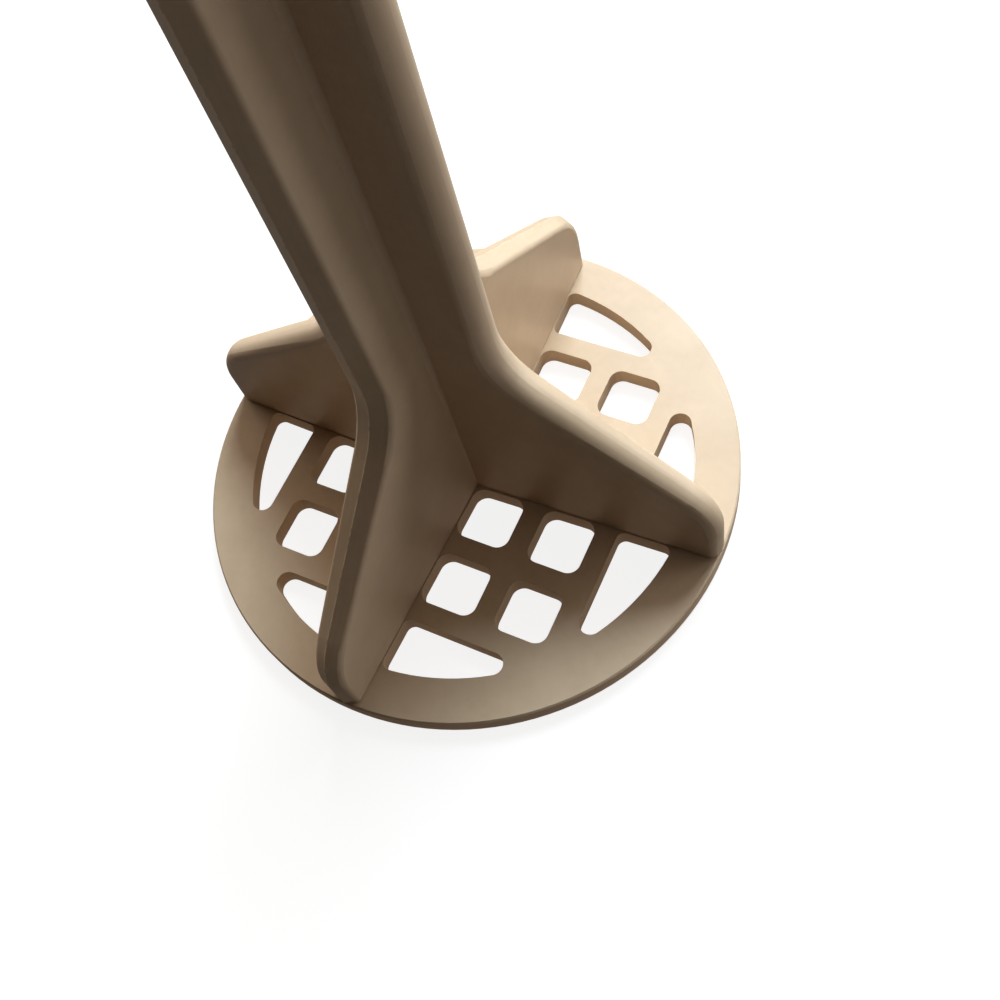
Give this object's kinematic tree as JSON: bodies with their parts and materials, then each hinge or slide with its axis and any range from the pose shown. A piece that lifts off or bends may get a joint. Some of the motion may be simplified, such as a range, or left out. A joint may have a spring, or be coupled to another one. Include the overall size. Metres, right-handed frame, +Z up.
{
  "type": "potato masher",
  "caption": "Potato masher of beige plastic: a round plate with square and curved holes under an upright handle of crossed fins that flare out to the rim.",
  "frame": {"origin": "centre of the plate's flat underside, on the surface that the masher stands on", "axes": "+Z up along the handle, X along the fins with the rounded edges, Y along the fins whose edges carry the parting line"},
  "size_m": [0.085, 0.085, 0.25],
  "materials": {
    "handle": "satin",
    "mashing_plate": "satin"
  },
  "bodies": {
    "root": {"handle": "handle", "mashing_plate": "mashing_plate"}
  },
  "joints": []
}
